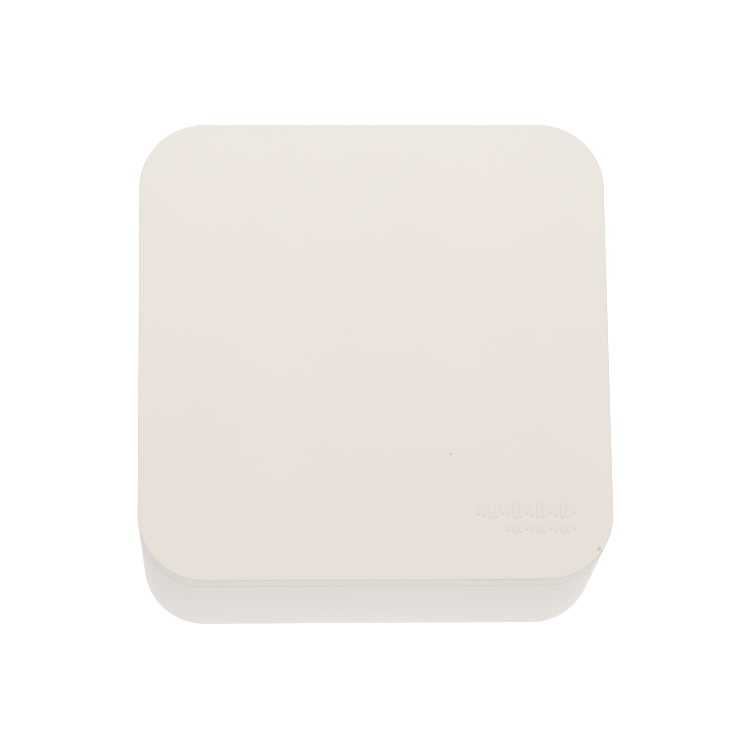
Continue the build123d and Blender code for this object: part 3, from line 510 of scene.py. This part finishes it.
def chip_leads():
    """Gull-wing legs of the flash chip, the pad rows of the flat chips, and the ends of the small parts."""
    metal = Shapes()
    flash_legs(metal)
    controller_pads(metal)
    part_ends(metal)
    metal.make("chip_leads", "housing", "shield_tin", "solder")


MARKED_CHIPS = ("memory_chips", "flash_chip", "power_controller_chips")
MARK_INSET, MARK_H = 1.1, 0.015
MARK_R = (0.42, 0.3)  # outer and inner


def chip_marks():
    """A round moulded mark beside the first leg of every black chip."""
    dots = Shapes()
    for name in MARKED_CHIPS:
        for low, high in solids_of(name):
            profile = band(*MARK_R, (high.z - ROOTED, high.z + MARK_H))
            dots.turned(low.x + MARK_INSET, high.y - MARK_INSET, profile, True)
    dots.make("chip_marks", "housing", "black_plastic", "chip_dot")


FENCE_H, FENCE_HALF_W, FENCE_PITCH = 0.7, 0.9, 3.2
FENCE_IN, FENCE_OUT, FENCE_BEVEL = 0.05, 0.35, 0.12  # in and out of the shield's side
FENCE_END = 3  # of each side's length that has no tabs


def shield_fences():
    """The soldered tabs around the foot of each radio shield."""
    fence = Shapes()
    for name in ("radio_shield_5g", "radio_shield_2g"):
        low, high = (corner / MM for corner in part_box(name))
        for axis in (0, 1):
            count = int((high[axis] - low[axis] - FENCE_END) / FENCE_PITCH) + 1
            middle = (low[axis] + high[axis]) / 2
            for along in centred(count, FENCE_PITCH):
                for edge, way in ((low[1 - axis], -1), (high[1 - axis], 1)):
                    spans = [None, None]
                    spans[axis] = (middle + along - FENCE_HALF_W, middle + along + FENCE_HALF_W)
                    spans[1 - axis] = sorted((edge - way * FENCE_IN, edge + way * FENCE_OUT))
                    fence.plate(*spans, (BOARD_TOP, BOARD_TOP + FENCE_H), FENCE_BEVEL)
    fence.make("shield_fences", "housing", "shield_tin")


# Profiles from the board and from the plug's top
LOWER_COLLAR = [(1.62, 0.0), (1.62, 0.35), (1.41, 0.5), (1.41, 0.0)]
UPPER_COLLAR = [(1.1, 0.0), (1.1, 0.12), (0.8, 0.2), (0.8, 0.0)]


def plug_collars():
    """Snap collars of the antenna plugs."""
    collars = Shapes()
    for low, high in solids_of("antenna_plugs"):
        x, y = (low.x + high.x) / 2, (low.y + high.y) / 2
        for foot, profile in ((BOARD_TOP, LOWER_COLLAR), (high.z, UPPER_COLLAR)):
            raised = [(radius, foot + up) for radius, up in profile]
            collars.turned(x, y, raised, closed=True, sides=28)
    collars.make("plug_collars", "housing", "gold_plate", smooth=True)


LABEL_MARGIN, LABEL_BORDER_W = 0.9, 0.18
LABEL_RULES, LABEL_RULE_W = (0.33, 0.66), 0.12  # shares of the height
LABEL_COLUMN = 7  # width of the column at the right
LABEL_INK = 0.015  # how far the print stands off the label


def label_print():
    """A blank rating label: a border and empty ruled fields."""
    low, high = (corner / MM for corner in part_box("rating_label"))
    z = (low.z - LABEL_INK, low.z + ROOTED)
    x, y = ((low[axis] + LABEL_MARGIN, high[axis] - LABEL_MARGIN) for axis in (0, 1))
    lines = Shapes()
    lines.outline(x, y, LABEL_BORDER_W, z)
    for share in LABEL_RULES:
        level = y[0] + (y[1] - y[0]) * share
        lines.strip([(x[0], level), (x[1], level)], LABEL_RULE_W, z)
    column = x[1] - LABEL_COLUMN
    lines.strip([(column, y[0]), (column, y[1])], LABEL_RULE_W, z)
    lines.make("label_print", "housing", "label_paper", "chip_dot")


# Studio


def area_light(name, place, aim, size, power, colour):
    """A soft rectangular light; place, aim and size are in metres."""
    data = bpy.data.lights.new(name, "AREA")
    data.shape = "RECTANGLE"
    data.size, data.size_y = size
    data.energy = power
    data.color = colour
    made = bpy.data.objects.new(name, data)
    made.location = place
    made.rotation_euler = (Vector(aim) - Vector(place)).to_track_quat("-Z", "Y").to_euler()
    made.visible_camera = False
    bpy.context.scene.collection.objects.link(made)


SKY_COLOUR = (0.995, 0.985, 0.97, 1)
SKY_STRENGTH = (0.38, 0.895)  # at the horizon, and overhead
FLOOR_REACH = 5.0  # from the middle to each edge, in metres
FLOOR_Z = -0.0001  # just clear of the bracket's back
FLOOR_ALBEDO = (0.30, 0.30, 0.30, 1)
FLOOR_ROUGHNESS = 0.9
# How strongly the table glows at each distance from the middle, in metres
FLOOR_GLOW = [(0.05, 1.02), (0.11, 0.82), (0.16, 0.80), (0.40, 0.22)]
GLOW_COLOUR = (0.925, 0.955, 1.0, 1)


def sky():
    """A white dome that darkens towards the horizon."""
    scene = bpy.context.scene
    scene.view_settings.view_transform = "Standard"
    world = bpy.data.worlds.new("studio")
    world.use_nodes = True
    background = world.node_tree.nodes["Background"]
    background.inputs["Color"].default_value = SKY_COLOUR
    way = node(world.node_tree, "ShaderNodeTexCoord").outputs["Generated"]
    height = node(world.node_tree, "ShaderNodeSeparateXYZ", {"Vector": way}).outputs["Z"]
    strength = spread(world.node_tree, height, *SKY_STRENGTH, (0, 1))
    world.node_tree.links.new(strength, background.inputs["Strength"])
    scene.world = world


def table_glow(tree):
    """The glow's strength, which falls away from the middle of the table."""
    place = node(tree, "ShaderNodeTexCoord").outputs["Object"]
    length = node(tree, "ShaderNodeVectorMath", {0: place}, operation="LENGTH").outputs["Value"]
    ramp = node(tree, "ShaderNodeValToRGB", {"Fac": length})
    stops = ramp.color_ramp.elements
    while len(stops) < len(FLOOR_GLOW):
        stops.new(1.0)
    for stop, (distance, glow) in zip(stops, FLOOR_GLOW):
        stop.position = distance
        stop.color = (glow, glow, glow, 1)
    return ramp.outputs["Color"]


def table():
    """A glowing white table that can be seen through from below."""
    mesh = bpy.data.meshes.new("floor")
    corners = [(x * FLOOR_REACH, y * FLOOR_REACH, FLOOR_Z) for x, y in ((-1, -1), (1, -1), (1, 1), (-1, 1))]
    mesh.from_pydata(corners, [], [(0, 1, 2, 3)])
    floor = bpy.data.objects.new("floor", mesh)
    bpy.context.scene.collection.objects.link(floor)
    material = bpy.data.materials.new("floor_paper")
    material.use_nodes = True
    tree = material.node_tree
    shader = tree.nodes["Principled BSDF"]
    shader.inputs["Base Color"].default_value = FLOOR_ALBEDO
    shader.inputs["Roughness"].default_value = FLOOR_ROUGHNESS
    shader.inputs["Emission Color"].default_value = GLOW_COLOUR
    tree.links.new(table_glow(tree), shader.inputs["Emission Strength"])
    under = node(tree, "ShaderNodeNewGeometry").outputs["Backfacing"]
    clear = node(tree, "ShaderNodeBsdfTransparent").outputs["BSDF"]
    seen = node(tree, "ShaderNodeMixShader", {"Fac": under, 1: shader.outputs["BSDF"], 2: clear})
    tree.links.new(seen.outputs["Shader"], tree.nodes["Material Output"].inputs["Surface"])
    mesh.materials.append(material)


def lights():
    """A soft cool key behind and above, and a soft strip in front."""
    area_light("key", place=(0.0, 0.42, 0.55), aim=(0, 0, 0.05), size=(0.5, 0.3), power=2.1,
               colour=(0.84, 0.91, 1.0))
    area_light("front_strip", place=(0.12, -0.45, 0.42), aim=(0, 0, 0.04), size=(0.5, 0.2), power=0.6,
               colour=(0.9, 0.96, 1.0))


camera()
dress_cad()
traces()
solder_joints()
silkscreen()
chip_leads()
chip_marks()
shield_fences()
plug_collars()
label_print()
sky()
table()
lights()
